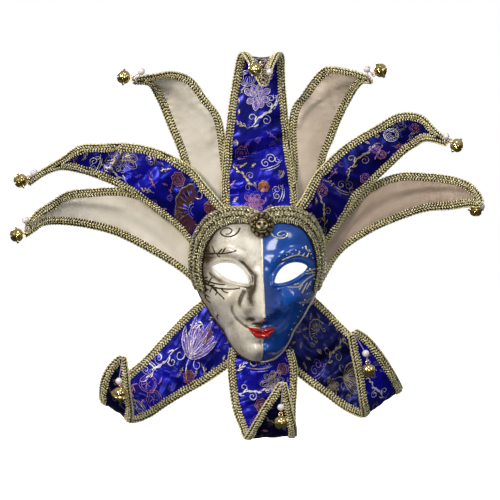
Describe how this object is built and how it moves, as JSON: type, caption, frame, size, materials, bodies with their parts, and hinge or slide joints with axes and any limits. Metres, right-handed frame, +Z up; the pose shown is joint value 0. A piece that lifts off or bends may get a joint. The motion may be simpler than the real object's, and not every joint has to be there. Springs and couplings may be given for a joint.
{
  "type": "masquerade mask",
  "caption": "Full-face jester carnival mask, half ivory and half cobalt, with curling cloth points round brow and jaw bound in gold braid and tipped with pearls and jingle bells.",
  "frame": {"origin": "inside surface of the face shell at the middle of the brow, behind the lion boss", "axes": "+Z up through the top point, +Y backwards out of the hollow of the mask, +X to the viewer's right when the mask faces the viewer"},
  "size_m": [0.5494, 0.1299, 0.4481],
  "materials": {
    "papier_mache": "papier-mache, painted ivory on one half and glossy cobalt on the other, red lips",
    "gold_braid": "metallic gimp braid in pale gold thread over a dark core",
    "antique_brass": "cast brass, darkened in the hollows",
    "blue_brocade": "royal blue satin brocade with gold, silver and rose threads",
    "cream_satin": "cream satin with a soft sheen",
    "pearl": "white pearl bead on a lilac and white thread",
    "bell_brass": "polished pale brass"
  },
  "bodies": {
    "root": {"face_shell": "papier_mache", "brow_braid": "gold_braid", "lion_boss": "antique_brass", "point_top": "blue_brocade", "edging_top": "gold_braid", "pearl_top": "pearl", "bell_top": "bell_brass", "point_upper_left": "cream_satin", "edging_upper_left": "gold_braid", "pearl_upper_left": "pearl", "bell_upper_left": "bell_brass", "point_upper_right": "cream_satin", "edging_upper_right": "gold_braid", "pearl_upper_right": "pearl", "bell_upper_right": "bell_brass", "point_mid_left": "blue_brocade", "edging_mid_left": "gold_braid", "pearl_mid_left": "pearl", "bell_mid_left": "bell_brass", "point_mid_right": "blue_brocade", "edging_mid_right": "gold_braid", "pearl_mid_right": "pearl", "bell_mid_right": "bell_brass", "point_lower_left": "cream_satin", "edging_lower_left": "gold_braid", "pearl_lower_left": "pearl", "bell_lower_left": "bell_brass", "point_lower_right": "cream_satin", "edging_lower_right": "gold_braid", "pearl_lower_right": "pearl", "bell_lower_right": "bell_brass", "collar_left": "blue_brocade", "edging_collar_left": "gold_braid", "pearl_collar_left": "pearl", "bell_collar_left": "bell_brass", "collar_centre": "blue_brocade", "edging_collar_centre": "gold_braid", "pearl_collar_centre": "pearl", "bell_collar_centre": "bell_brass", "collar_right": "blue_brocade", "edging_collar_right": "gold_braid", "pearl_collar_right": "pearl", "bell_collar_right": "bell_brass"}
  },
  "joints": []
}
